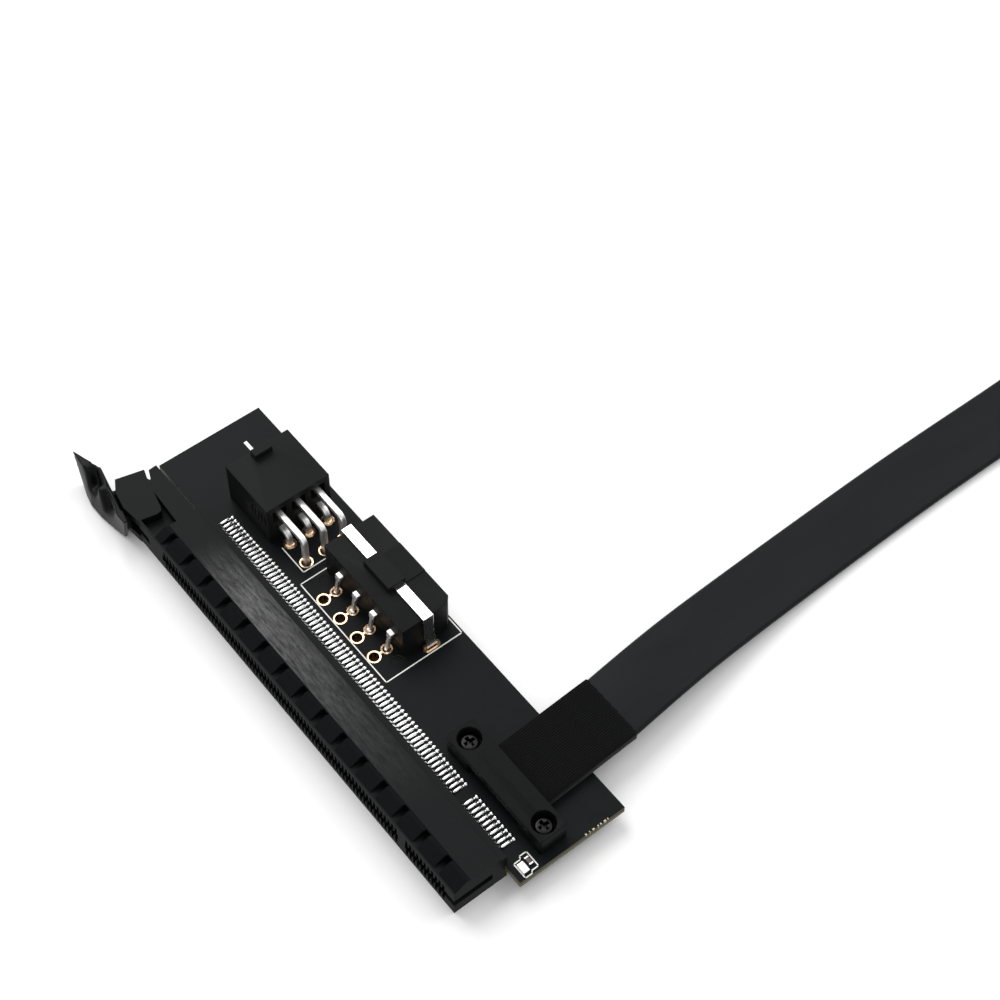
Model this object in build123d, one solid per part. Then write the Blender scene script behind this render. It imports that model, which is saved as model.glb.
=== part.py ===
from build123d import *
import math
import os

# A riser card that lies flat: a card slot, a small circuit board with two power sockets, and a
# flat cable that ends in an edge plug. Millimetres. +X runs along the slot to the cable end,
# +Y from the slot to the cable, +Z up. The part lies on Z = 0.

# Circuit board
board_length = 108.2
board_width = 22.5
board_thickness = 1.6
board_right = 59.6
board_near = -8.9
board_lift = 2.65
board_left = board_right - board_length
board_far = board_near + board_width
board_top = board_lift + board_thickness

# Contacts of the card slot, counted from the cable end, with the card key after the eleventh
contact_pitch = 1.0
contacts_before_key = 11
contacts_after_key = 71
key_step = 3.0
key_width = 1.9
first_contact_inset = 6.9
contact_width = 0.5
contact_thickness = 0.3
contact_window = 0.64
beam_offset = 2.0
contact_tip_inset = 0.7
tail_drop_start = 0.35
tail_drop_run = 0.85
foot_length = 1.85

# Slot housing, with heights above the floor and depths behind the front face
slot_front_reach = 10.6
slot_overhang = 0.45
slot_end_margin = 2.87
slot_body_margin = 3.4
lip_height = 6.9
lip_depth = 0.3
crest_depth = 2.7
crest_height = 8.2
band_depth = 3.6
band_front_height = 7.75
band_rear_depth = 9.6
band_rear_height = 7.5
rim_depth = 9.8
card_gap = 1.8
card_depth = 8.0
window_reach = 2.5
relief_pitch = 5.8
relief_width = 1.4
relief_margin = 1.3
relief_depth = 3.4
relief_floor_height = 6.15
relief_count = 15

# Latch end of the slot housing. Its outlines are seen from above, as offsets from the housing's
# front left corner: first the bar behind the notch, then the notch, then the cheek's sides.
end_outline = [
    (0.0, 9.5), (-13.5, 9.4), (-13.4, 7.7), (-11.55, 7.0), (-11.35, 6.65), (-11.9, 6.45),
    (-14.0, 7.1), (-15.4, 1.6), (-12.9, 0.15), (-9.0, -0.6), (-5.4, -0.2), (-4.8, 0.0), (0.0, 0.0),
]
tray_outline = [
    (-8.8, 5.75), (-0.3, 5.4), (-0.3, 0.4), (-4.7, 0.4), (-4.0, 3.5), (-4.2, 4.5), (-5.0, 4.9),
]
tray_floor_height = 4.9
cheek_gap = 3.5
cheek_gap_reach = 5.0
card_passage = (3.7, 2.0)
pivot_radius = 0.9
pivot_clearance = 0.05
pivot_from_body = 13.2
pivot_from_front = 2.5

# Latch lever: outlines of its foot and of its top, as places, and the two hollows in its face
lever_low = 0.4
lever_high = 6.9
lever_foot = [
    (-56.8, -21.2), (-53.5, -22.3), (-51.0, -22.8), (-47.7, -22.7), (-43.5, -22.1),
    (-41.2, -21.6), (-41.2, -20.9), (-54.6, -18.9), (-55.6, -19.6),
]
lever_top = [
    (-59.6, -20.6), (-55.6, -20.9), (-52.5, -21.3), (-47.5, -21.7), (-42.5, -21.9),
    (-39.7, -21.9), (-39.6, -21.1), (-53.7, -18.1), (-55.2, -19.1),
]
lever_hollows = [
    [(-54.6, 7.5), (-49.8, 7.5), (-49.8, 4.2), (-52.3, 3.6)],
    [(-48.6, 7.5), (-43.0, 7.5), (-43.8, 4.6), (-46.5, 3.4)],
]
lever_plate = 1.1
lever_play = 0.25
lever_boss_radius = 1.8
lever_nose = 1.4
stub_reach = 0.9

# Six pin power socket, mouth towards -X
six_pitch = 4.2
six_rows = 2
six_columns = 3
six_width = 13.8
six_height = 9.6
six_depth = 13.1
six_mouth = -34.4
six_middle = 4.4
six_cell = 3.5
six_cell_depth = 10.0
six_pin = 1.07
six_pin_inset = 1.2
six_low_drop = 2.25
six_high_drop = 7.5
six_bend = 0.9
six_latch_width = 3.8
six_latch_length = 1.75
six_latch_setback = 0.8
six_latch_height = 1.5
six_arch = (1.6, 3.0, 2.8)
six_arch_lift = 0.2
six_ribs = 5
six_rib_pitch = 1.0
six_rib = (0.4, 0.25)
six_rib_heights = (4.6, 7.2)

# Four pin power socket, mouth towards +Y
four_pitch = 5.08
four_pins = 4
four_width = 23.3
four_height = 8.0
four_depth = 10.9
four_centre = 2.32
four_body_centre = 1.52
four_back = 2.1
four_wall = 1.1
four_mouth_depth = 8.6
four_pin_radius = 1.05
four_pin_height = 4.1
four_pin_inset = 1.4
four_pin_root = 1.0
four_tail_width = 1.3
four_tail_thickness = 0.6
four_tail_out = 1.4
four_chamfer = 1.3

# Steel strap that holds the four pin socket down, and the bridge that it runs under
strap_width = 2.2
strap_thickness = 0.5
strap_from_back = 4.1
strap_clearance = 0.05
strap_flare = 0.58
strap_knee_height = 7.4
strap_foot_height = 5.2
bridge_left = -2.2
bridge_length = 7.5
bridge_depth = 3.7
bridge_height = 1.2
bridge_from_back = 2.85
bridge_tail_height = 0.2

# Plated holes
plated_hole_radius = 1.05
spare_row_step = 2.76
tail_below = 1.7
peg_hole_radius = 1.25
peg_hole_spread = 21.7
strap_slot_length = 3.0
strap_slot_width = 1.2

# Cable clamp: two bars, two screws, two nuts
clamp_length = 25.6
clamp_width = 5.9
clamp_rise = 4.1
clamp_centre = 44.95
clamp_near = -3.2
clamp_hole_spacing = 20.0
clamp_corner = 0.9
screw_radius = 1.0
screw_clearance = 0.15
head_radius = 1.75
head_height = 1.3
head_bore_radius = 2.2
head_bore_depth = 2.4
nut_flats = 4.0
nut_height = 1.6
nut_recess = 0.15
nut_clearance = 0.1

# Cable and its woven sleeves
cable_width = 13.5
cable_thickness = 1.6
sleeve_width = 13.7
sleeve_height = 2.5
sleeve_clearance = 0.1
sleeve_end = 22.8
sleeve_end_x = 44.15
sleeve_inside_clamp = 4.6

# Small parts on the board
led_size = (2.0, 1.25, 0.8)
led_place = (57.95, -6.95)
resistor_size = (1.6, 0.85, 0.5)
resistor_place = (57.4, -5.35)

# Edge plug at the far end of the cable
plug_length = 30.0
plug_width = 46.0
plug_tab_width = 38.6
plug_tab_depth = 9.0
plug_finger_pitch = 1.0
plug_fingers_before_key = 11
plug_fingers_after_key = 21
plug_key_width = 1.9
plug_key_setback = 1.5
plug_sleeve_reach = 16.0
plug_clamp_setback = 1.0

# The cable's centre line, from the first sleeve to the second
cable_route = [
    (44.3, 21.6, 5.5),
    (43.3, 31.0, 5.5),
    (41.7, 43.5, 4.0),
    (40.4, 59.0, 2.1),
    (39.5, 77.0, 1.0),
    (39.1, 98.0, 0.95),
    (39.2, 114.0, 0.95),
    (39.5, 130.0, 1.0),
    (39.9, 142.0, 2.2),
    (40.2, 153.0, 4.2),
    (40.4, 164.0, 5.5),
    (40.4, 174.0, 5.5),
]

screw_hole_radius = screw_radius + screw_clearance
slot_front = board_near - slot_front_reach
slot_rear = board_near + slot_overhang
slot_right = board_right - first_contact_inset + slot_end_margin
card_middle = board_lift + board_thickness / 2


def contact_places():
    """X of every contact, from the cable end to the latch end."""
    first = board_right - first_contact_inset
    before = [first - contact_pitch * n for n in range(contacts_before_key)]
    start = before[-1] - key_step
    after = [start - contact_pitch * n for n in range(contacts_after_key)]
    return before + after


contact_xs = contact_places()
slot_left = contact_xs[-1] - slot_body_margin


def block(x0, x1, y0, y1, z0, z1):
    """A box between two corners."""
    return Pos((x0 + x1) / 2, (y0 + y1) / 2, (z0 + z1) / 2) * Box(x1 - x0, y1 - y0, z1 - z0)


def rod(x, y, z0, z1, radius):
    """A round bar that stands on end."""
    return Pos(x, y, (z0 + z1) / 2) * Cylinder(radius, z1 - z0)


def bore(x, y, z0, z1, radius, sides=8):
    """A round shape that stands on end, with enough flat sides to look round."""
    return Pos(x, y, z0) * extrude(RegularPolygon(radius, sides), amount=z1 - z0)


def prism_x(points, x0, x1):
    """A (y, z) outline drawn out along X."""
    face = make_face(Polyline(*[(x0, y, z) for y, z in points], close=True))
    return extrude(face, amount=x1 - x0, dir=(1, 0, 0))


def prism_y(points, y0, y1):
    """An (x, z) outline drawn out along Y."""
    face = make_face(Polyline(*[(x, y0, z) for x, z in points], close=True))
    return extrude(face, amount=y1 - y0, dir=(0, 1, 0))


def prism_z(points, z0, z1):
    """An (x, y) outline drawn out along Z."""
    face = make_face(Polyline(*[(x, y, z0) for x, y in points], close=True))
    return extrude(face, amount=z1 - z0, dir=(0, 0, 1))


def upright_edges(solid):
    """The edges of a solid that stand along Z."""
    return solid.edges().filter_by(Axis.Z)


def save(name, solids):
    """Write one node as a STEP file."""
    kept = list(solids) if isinstance(solids, (list, tuple)) else [solids]
    shape = kept[0] if len(kept) == 1 else Compound(children=kept)
    export_step(shape, "parts/" + name + ".step")
    return shape


# Places of the pins and screws, shared by the holes and by what goes through them
six_ys = [six_middle + six_pitch * (n - (six_columns - 1) / 2) for n in range(six_columns)]
six_low_x = six_mouth + six_depth + six_low_drop
six_high_x = six_mouth + six_depth + six_high_drop
four_xs = [four_centre + four_pitch * (n - (four_pins - 1) / 2) for n in range(four_pins)]
four_tail_y = four_back - four_tail_out
clamp_xs = [clamp_centre - clamp_hole_spacing / 2, clamp_centre + clamp_hole_spacing / 2]
clamp_hole_y = clamp_near + clamp_width / 2
strap_near = four_back + strap_from_back
strap_reach = four_width / 2 + strap_clearance + strap_thickness
strap_foot_reach = strap_reach + strap_flare


def plated_places():
    """Centres of the plated round holes."""
    six = [(x, y) for x in (six_low_x, six_high_x) for y in six_ys]
    four = [(x, y) for x in four_xs for y in (four_tail_y, four_tail_y - spare_row_step)]
    return six + four


def strap_slot(x, z0, z1):
    """The long hole that a leg of the strap stands in."""
    slot = SlotOverall(strap_slot_length, strap_slot_width, rotation=90)
    return Pos(x, strap_near + strap_width / 2, z0) * extrude(slot, amount=z1 - z0)


def circuit_board():
    board = block(board_left, board_right, board_near, board_far, board_lift, board_top)
    holes = [bore(x, y, 0, crest_height, plated_hole_radius) for x, y in plated_places()]
    holes += [
        bore(four_centre + side * peg_hole_spread / 2, four_tail_y, 0, crest_height, peg_hole_radius)
        for side in (-1, 1)
    ]
    holes += [bore(x, clamp_hole_y, 0, crest_height, screw_hole_radius) for x in clamp_xs]
    leg_xs = [four_body_centre - strap_foot_reach, four_body_centre + strap_foot_reach]
    holes += [strap_slot(x, 0, crest_height) for x in leg_xs]
    return board - holes


def slot_outline():
    """Outline of the slot housing seen from its end, as (y, z)."""
    return [
        (slot_front, 0),
        (slot_front, lip_height),
        (slot_front + lip_depth, lip_height),
        (slot_front + crest_depth, crest_height),
        (slot_front + band_depth, band_front_height),
        (slot_front + band_rear_depth, band_rear_height),
        (slot_front + rim_depth, lip_height),
        (slot_rear, lip_height),
        (slot_rear, 0),
    ]


def card_cuts():
    """The gap for the card's edge, parted by the key, and the window of each contact."""
    low = card_middle - card_gap / 2
    high = card_middle + card_gap / 2
    back = slot_front + card_depth
    key_x = (contact_xs[contacts_before_key - 1] + contact_xs[contacts_before_key]) / 2
    left_wall = contact_xs[-1] - contact_pitch
    cuts = [
        block(key_x + key_width / 2, slot_right + 1, slot_front - 1, back, low, high),
        block(left_wall, key_x - key_width / 2, slot_front - 1, back, low, high),
    ]
    half = contact_window / 2
    for x in contact_xs:
        window_low = card_middle - window_reach
        window_high = card_middle + window_reach
        cuts.append(block(x - half, x + half, slot_front - 1, back, window_low, window_high))
    return cuts


def relief_cuts():
    """The wedge pockets that leave a row of sloping blocks along the front edge."""
    wedge = [
        (slot_front + lip_depth, lip_height),
        (slot_front + relief_depth, relief_floor_height),
        (slot_front + relief_depth, crest_height + 1),
        (slot_front + lip_depth, crest_height + 1),
    ]
    first = contact_xs[-1] - relief_margin
    starts = [first + relief_pitch * n for n in range(relief_count)]
    return [prism_x(wedge, x, x + relief_width) for x in starts]


pivot_x = slot_left - pivot_from_body
pivot_y = slot_front + pivot_from_front
cheek_low = card_middle - cheek_gap / 2
cheek_high = card_middle + cheek_gap / 2


def placed(outline):
    """An outline given from the housing's front left corner, at its place."""
    return [(slot_left + x, slot_front + y) for x, y in outline]


def latch_end():
    """The end of the slot housing that carries the latch: a bar, a tray and two cheeks."""
    solid = prism_z(placed(end_outline), 0, lip_height)
    solid -= prism_z(placed(tray_outline), tray_floor_height, crest_height)
    gap_near = slot_front - lever_boss_radius
    gap_far = pivot_y + lever_boss_radius + lever_play
    gap_left = pivot_x - cheek_gap_reach
    gap_right = slot_left - cheek_gap_reach
    solid -= block(gap_left, gap_right, gap_near, gap_far, cheek_low, cheek_high)
    low = card_middle - card_gap / 2
    high = card_middle + card_gap / 2
    passage_right = slot_left - card_passage[1]
    passage_far = slot_front + card_passage[0]
    solid -= block(gap_right, passage_right, gap_near, passage_far, low, high)
    hole_low = cheek_low - stub_reach - lever_play
    hole_high = cheek_high + stub_reach + lever_play
    return solid - rod(pivot_x, pivot_y, hole_low, hole_high, pivot_radius + pivot_clearance)


def slot_housing():
    body = prism_x(slot_outline(), slot_left, slot_right)
    seat = block(slot_left - 1, slot_right + 1, board_near, slot_rear + 1, board_lift, board_top)
    body = body - seat
    body = body - card_cuts()
    body = body - relief_cuts()
    return body + latch_end()


def contact_outline(side):
    """One contact seen from its end: a beam in the housing and a foot that thins to its toe."""
    beam = card_middle + side * beam_offset
    board_face = card_middle + side * board_thickness / 2
    foot_face = board_face + side * contact_thickness
    tip = slot_front + contact_tip_inset
    drop = slot_rear + tail_drop_start
    heel = drop + tail_drop_run
    return [
        (tip, beam + side * contact_thickness / 2),
        (drop, beam + side * contact_thickness),
        (heel, foot_face),
        (heel + foot_length, board_face),
        (heel - contact_thickness / 2, board_face),
        (drop - contact_thickness / 2, beam),
    ]


def slot_contacts(side):
    half = contact_width / 2
    one = prism_x(contact_outline(side), -half, half)
    return [Pos(x, 0, 0) * one for x in contact_xs]


def latch_lever():
    """The lever that locks a card in: a plate with a flared thumb tab, hollows, nose and pivot."""
    foot = make_face(Polyline(*[(x, y, lever_low) for x, y in lever_foot], close=True))
    top = make_face(Polyline(*[(x, y, lever_high) for x, y in lever_top], close=True))
    body = loft([foot, top], ruled=True)
    tab, nose = lever_top[-2], lever_top[-3]
    plate = prism_z(
        [tab, nose, (nose[0], nose[1] - lever_plate), (tab[0], tab[1] - lever_plate)], 0, crest_height
    )
    front = slot_front - cheek_gap_reach
    for hollow in lever_hollows:
        body -= prism_y(hollow, front, pivot_y) - plate
    web_low = cheek_low + lever_play
    web_high = cheek_high - lever_play
    reach = lever_boss_radius
    arm_near = tab[1] + (pivot_x - tab[0]) * (nose[1] - tab[1]) / (nose[0] - tab[0])
    arm_near -= lever_plate
    arm = block(pivot_x - reach, pivot_x + reach, arm_near, pivot_y, web_low, web_high)
    boss = rod(pivot_x, pivot_y, web_low, web_high, reach)
    stub = rod(pivot_x, pivot_y, cheek_low - stub_reach, cheek_high + stub_reach, pivot_radius)
    hook_right = lever_foot[5][0]
    hook = block(hook_right - lever_nose, hook_right, nose[1], slot_front, web_low, web_high)
    return body + arm + boss + stub + hook


def six_pin_housing():
    near = six_middle - six_width / 2
    far = six_middle + six_width / 2
    rear = six_mouth + six_depth
    top = board_top + six_height
    body = block(six_mouth, rear, near, far, board_top, top)
    cells = []
    arches = []
    row_zs = [board_top + six_height / 2 + six_pitch * (n - 0.5) for n in range(six_rows)]
    half = six_cell / 2
    arch_depth, arch_width, arch_height = six_arch
    arch_low = row_zs[1] - six_arch_lift - arch_height / 2
    for y in six_ys:
        for z in row_zs:
            end = six_mouth + six_cell_depth
            cells.append(block(six_mouth - 1, end, y - half, y + half, z - half, z + half))
        y0 = y - arch_width / 2
        y1 = y + arch_width / 2
        arches.append(block(rear - arch_depth, rear + 1, y0, y1, arch_low, arch_low + arch_height))
    body = body - cells - arches - six_pins(0) - six_pins(1)
    latch_near = six_middle - six_latch_width / 2
    latch_far = six_middle + six_latch_width / 2
    latch_start = six_mouth + six_latch_setback
    latch_end_x = latch_start + six_latch_length
    body += block(latch_start, latch_end_x, latch_near, latch_far, top, top + six_latch_height)
    rib_width, rib_depth = six_rib
    rib_low, rib_high = [board_top + height for height in six_rib_heights]
    for n in range(six_ribs):
        x = rear - six_rib_pitch * (n + 1)
        body += block(x - rib_width / 2, x + rib_width / 2, near - rib_depth, near, rib_low, rib_high)
    return body


def bent_pin(start, run_z, drop_x, foot_z, y):
    """A square pin that runs level and then turns down through the board."""
    half = six_pin / 2
    outline = [
        (start, run_z - half),
        (start, run_z + half),
        (drop_x + half - six_bend, run_z + half),
        (drop_x + half, run_z + half - six_bend),
        (drop_x + half, foot_z),
        (drop_x - half, foot_z),
        (drop_x - half, run_z - half - six_bend / 2),
        (drop_x - half - six_bend / 2, run_z - half),
    ]
    return prism_y(outline, y - half, y + half)


def six_pins(row):
    run_z = board_top + six_height / 2 + six_pitch * (row - 0.5)
    drop_x = six_high_x if row else six_low_x
    start = six_mouth + six_pin_inset
    foot_z = board_lift - tail_below
    return [bent_pin(start, run_z, drop_x, foot_z, y) for y in six_ys]


def four_pin_housing():
    left = four_body_centre - four_width / 2
    right = four_body_centre + four_width / 2
    mouth = four_back + four_depth
    top = board_top + four_height
    body = block(left, right, four_back, mouth, board_top, top)
    body = chamfer(upright_edges(body).group_by(Axis.Y)[-1].sort_by(Axis.X)[-1], four_chamfer)
    wall = four_wall
    cut_back = mouth - four_mouth_depth
    body -= block(left + wall, right - wall, cut_back, mouth + 1, board_top + wall, top - wall)
    body = body - [four_pin_round(x) for x in four_xs] - [four_pin_tail(x) for x in four_xs]
    near = four_back + bridge_from_back
    far = near + bridge_depth
    bridge_right = bridge_left + bridge_length
    bridge = block(bridge_left, bridge_right, near, far, top, top + strap_thickness + bridge_height)
    bridge += block(bridge_left, bridge_right, far, mouth, top, top + bridge_tail_height)
    tunnel_near = strap_near - strap_clearance
    tunnel_far = strap_near + strap_width + strap_clearance
    bridge -= block(left, right, tunnel_near, tunnel_far, top, top + strap_thickness + strap_clearance)
    return body + bridge


def four_pin_round(x):
    """The round contact of one pin, pointing out of the socket."""
    z = board_top + four_pin_height
    start = four_back + four_depth - four_mouth_depth - four_pin_root
    end = four_back + four_depth - four_pin_inset
    across = Plane(origin=(x, start, z), z_dir=(0, 1, 0))
    return extrude(across * RegularPolygon(four_pin_radius, 8), amount=end - start)


def four_pin_tail(x):
    """The flat tail of one pin, which runs back and turns down into the board."""
    z = board_top + four_pin_height
    half = four_tail_thickness / 2
    start = four_back + four_depth - four_mouth_depth - four_pin_root
    outline = [
        (start, z - half),
        (start, z + half),
        (four_tail_y - half, z + half),
        (four_tail_y - half, board_lift - tail_below),
        (four_tail_y + half, board_lift - tail_below),
        (four_tail_y + half, z - half),
    ]
    return prism_x(outline, x - four_tail_width / 2, x + four_tail_width / 2)


def four_pin_contacts():
    return [four_pin_round(x) + four_pin_tail(x) for x in four_xs]


def hold_down_strap():
    """The strap: over the socket, down both sides, and out to its holes in the board."""
    top = board_top + four_height
    inner = strap_reach - strap_thickness
    foot_out = strap_foot_reach + strap_thickness / 2
    foot_in = strap_foot_reach - strap_thickness / 2
    half = [
        (strap_reach, top + strap_thickness), (strap_reach, strap_knee_height),
        (foot_out, strap_foot_height), (foot_out, board_lift),
        (foot_in, board_lift), (foot_in, strap_foot_height),
        (inner, strap_knee_height), (inner, top),
    ]
    right = [(four_body_centre + x, z) for x, z in half]
    left = [(four_body_centre - x, z) for x, z in reversed(half)]
    return prism_y(right + left, strap_near, strap_near + strap_width)


def clamp_block(z0, z1, x_middle, near, hole_xs):
    """A bar with blunted upright corners and a hole for each screw."""
    half = clamp_length / 2
    bar = block(x_middle - half, x_middle + half, near, near + clamp_width, z0, z1)
    bar = chamfer(upright_edges(bar), clamp_corner)
    hole_y = near + clamp_width / 2
    return bar - [bore(x, hole_y, z0 - 1, z1 + 1, screw_hole_radius) for x in hole_xs]


def clamp_top(x_middle, near, hole_xs):
    top = board_top + clamp_rise
    bar = clamp_block(board_top, top, x_middle, near, hole_xs)
    hole_y = near + clamp_width / 2
    bar -= [bore(x, hole_y, top - head_bore_depth, top + 1, head_bore_radius, 16) for x in hole_xs]
    half = sleeve_width / 2 + sleeve_clearance
    gap_top = board_top + sleeve_height + sleeve_clearance
    gap = block(x_middle - half, x_middle + half, near - 1, near + clamp_width + 1, board_top - 1, gap_top)
    return bar - gap


def nut_prism(x, y, z0, z1, flats):
    """A hexagon across the given flats."""
    hexagon = RegularPolygon(flats / 2, 6, major_radius=False)
    return Pos(x, y, z0) * extrude(hexagon, amount=z1 - z0)


def clamp_bottom(x_middle, near, hole_xs):
    bar = clamp_block(0, board_lift, x_middle, near, hole_xs)
    hole_y = near + clamp_width / 2
    depth = nut_recess + nut_height
    flats = nut_flats + nut_clearance
    return bar - [nut_prism(x, hole_y, -1, depth, flats) for x in hole_xs]


def clamp_screws(near, hole_xs):
    hole_y = near + clamp_width / 2
    seat = board_top + clamp_rise - head_bore_depth
    top = seat + head_height
    screws = []
    for x in hole_xs:
        screw = bore(x, hole_y, seat, top, head_radius, 16)
        screw += bore(x, hole_y, 2 * nut_recess, seat, screw_radius)
        screws.append(screw)
    return screws


def clamp_nuts(near, hole_xs):
    hole_y = near + clamp_width / 2
    nuts = []
    for x in hole_xs:
        nut = nut_prism(x, hole_y, nut_recess, nut_recess + nut_height, nut_flats)
        nuts.append(nut - bore(x, hole_y, -1, board_lift, screw_radius))
    return nuts


def cable_sleeve():
    """The woven sleeve: straight in the clamp, then a little askew with the cable."""
    half = sleeve_width / 2
    bend = clamp_near + clamp_width
    outline = [
        (clamp_centre - half, bend - sleeve_inside_clamp),
        (clamp_centre + half, bend - sleeve_inside_clamp),
        (clamp_centre + half, bend),
        (sleeve_end_x + half, sleeve_end),
        (sleeve_end_x - half, sleeve_end),
        (clamp_centre - half, bend),
    ]
    return prism_z(outline, board_top, board_top + sleeve_height)


def plug_sleeve():
    """The woven sleeve at the plug's end of the cable."""
    half = sleeve_width / 2
    near = cable_route[-1][1]
    far = plug_clamp_near + sleeve_inside_clamp
    top = board_top + sleeve_height
    return block(plug_centre - half, plug_centre + half, near, far, board_top, top)


def flat_cable():
    """The cable's free stretch: straight runs joined by tangent arcs."""
    points = [Vector(*place) for place in cable_route]
    radii = []
    for before, here, after in zip(points, points[1:], points[2:]):
        into = here - before
        out = after - here
        turn = math.radians(into.get_angle(out))
        shorter = min(into.length, out.length)
        radii.append(0.45 * shorter / math.tan(turn / 2))
    print("cable radii", [round(radius) for radius in radii])
    path = FilletPolyline(*points, radius=radii)
    across = (path % 0).cross(Vector(0, 0, 1))
    start = Plane(origin=path @ 0, x_dir=across, z_dir=path % 0)
    cable = sweep(start * Rectangle(cable_width, cable_thickness), path=path)
    print("cable length", round(path.length, 1), "volume", round(cable.volume))
    print("section times length", round(path.length * cable_width * cable_thickness))
    reach = cable_width
    hidden = block(
        clamp_centre - reach, clamp_centre + reach, sleeve_end - reach, sleeve_end, 0, 2 * board_top
    )
    return cable - hidden


plug_centre = cable_route[-1][0]
plug_start = cable_route[-1][1] + plug_sleeve_reach
plug_clamp_near = plug_start + plug_clamp_setback
plug_hole_xs = [plug_centre - clamp_hole_spacing / 2, plug_centre + clamp_hole_spacing / 2]
plug_tab_end = plug_start + plug_length


def plug_finger_places():
    """X of every finger of the edge plug."""
    total = plug_fingers_before_key + plug_fingers_after_key
    span = (total - 2) * plug_finger_pitch + key_step
    first = plug_centre - span / 2
    before = [first + plug_finger_pitch * n for n in range(plug_fingers_before_key)]
    start = before[-1] + key_step
    return before + [start + plug_finger_pitch * n for n in range(plug_fingers_after_key)]


def plug_board():
    half = plug_width / 2
    tab_start = plug_tab_end - plug_tab_depth
    board = block(plug_centre - half, plug_centre + half, plug_start, tab_start, board_lift, board_top)
    tab = plug_tab_width / 2
    board += block(plug_centre - tab, plug_centre + tab, tab_start, plug_tab_end, board_lift, board_top)
    xs = plug_finger_places()
    key_x = (xs[plug_fingers_before_key - 1] + xs[plug_fingers_before_key]) / 2
    key_half = plug_key_width / 2
    key_start = tab_start + plug_key_setback
    board -= block(key_x - key_half, key_x + key_half, key_start, plug_tab_end + 1, 0, crest_height)
    hole_y = plug_clamp_near + clamp_width / 2
    return board - [bore(x, hole_y, 0, crest_height, screw_hole_radius) for x in plug_hole_xs]


def small_part(size, place):
    """A chip part that lies flat on the board."""
    return Pos(place[0], place[1], board_top + size[2] / 2) * Box(*size)


os.makedirs("parts", exist_ok=True)

save("circuit_board", circuit_board())
save("slot_housing", slot_housing())
save("slot_contacts_upper", slot_contacts(1))
save("slot_contacts_lower", slot_contacts(-1))
save("latch_lever", latch_lever())
save("six_pin_socket", six_pin_housing())
save("six_pin_lower_pins", six_pins(0))
save("six_pin_upper_pins", six_pins(1))
save("four_pin_socket", four_pin_housing())
save("four_pin_contacts", four_pin_contacts())
save("hold_down_strap", hold_down_strap())
save("clamp_bar_top", clamp_top(clamp_centre, clamp_near, clamp_xs))
save("clamp_bar_bottom", clamp_bottom(clamp_centre, clamp_near, clamp_xs))
save("clamp_screws", clamp_screws(clamp_near, clamp_xs))
save("clamp_nuts", clamp_nuts(clamp_near, clamp_xs))
save("cable_sleeve", cable_sleeve())
save("status_led", small_part(led_size, led_place))
save("led_resistor", small_part(resistor_size, resistor_place))
save("flat_cable", flat_cable())
save("plug_cable_sleeve", plug_sleeve())
save("plug_board", plug_board())
save("plug_clamp_bar_top", clamp_top(plug_centre, plug_clamp_near, plug_hole_xs))
save("plug_clamp_bar_bottom", clamp_bottom(plug_centre, plug_clamp_near, plug_hole_xs))
save("plug_clamp_screws", clamp_screws(plug_clamp_near, plug_hole_xs))
save("plug_clamp_nuts", clamp_nuts(plug_clamp_near, plug_hole_xs))
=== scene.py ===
# %% [markdown]
# # A riser card, dressed in Blender
# The solids of this part were made in a CAD program, and they already have the right sizes.
# This lesson loads them, lights them softly, gives every surface a finish made of shader nodes,
# and models the small things that the solids leave out: gold rings, solder, white ink, screws
# with a cross recess, a ribbed sleeve and the flat cable.

# %% Load the solids
import math
import bpy
import bmesh
from mathutils import Matrix, Vector


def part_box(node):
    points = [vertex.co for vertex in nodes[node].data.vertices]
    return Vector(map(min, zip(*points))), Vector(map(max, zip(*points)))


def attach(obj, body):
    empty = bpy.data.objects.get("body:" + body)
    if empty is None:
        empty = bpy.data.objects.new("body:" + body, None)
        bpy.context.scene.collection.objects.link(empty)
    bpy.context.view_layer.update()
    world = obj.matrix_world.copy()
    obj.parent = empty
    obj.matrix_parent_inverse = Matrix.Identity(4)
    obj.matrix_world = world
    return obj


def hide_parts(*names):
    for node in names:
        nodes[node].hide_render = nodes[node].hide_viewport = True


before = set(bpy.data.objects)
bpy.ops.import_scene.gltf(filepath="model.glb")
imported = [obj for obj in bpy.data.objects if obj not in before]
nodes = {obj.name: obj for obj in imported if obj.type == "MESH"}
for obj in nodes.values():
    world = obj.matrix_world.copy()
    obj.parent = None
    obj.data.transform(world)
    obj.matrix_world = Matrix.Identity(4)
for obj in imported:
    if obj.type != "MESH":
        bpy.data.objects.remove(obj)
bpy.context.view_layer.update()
print("nodes loaded:", len(nodes))

# %% [markdown]
# ## Where is everything?
# Heights and places are read from the solids, in millimetres, so that what is added sits on
# what carries it. Blender's mesh tools merge points that are a thousandth of a millimetre
# apart, so the pieces are modelled a thousand times too large and brought to size at the end.

# %% Sizes read from the solids
mm_per_metre = 1000


def corners(node):
    """The low and the high corner of a solid's box, in millimetres."""
    return [Vector(corner) * mm_per_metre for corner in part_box(node)]


board_low, board_high = corners("circuit_board")
board_bottom, board_top = board_low.z, board_high.z
print("board top and bottom in mm:", round(board_top, 2), round(board_bottom, 2))

# %% [markdown]
# ## The camera
# The photograph looks down on the card from the slot's side. The camera stands where the
# picture's own perspective says, found from the row of contacts, which are 1 mm apart. It leans
# a little to one side, so it is rolled about its own line of sight.

# %% Camera
camera_place = Vector((0.17370, -0.10673, 0.32117))
camera_aim = Vector((-0.00545, 0.03839, 0.0))
camera_roll = math.radians(0.807)

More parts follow.
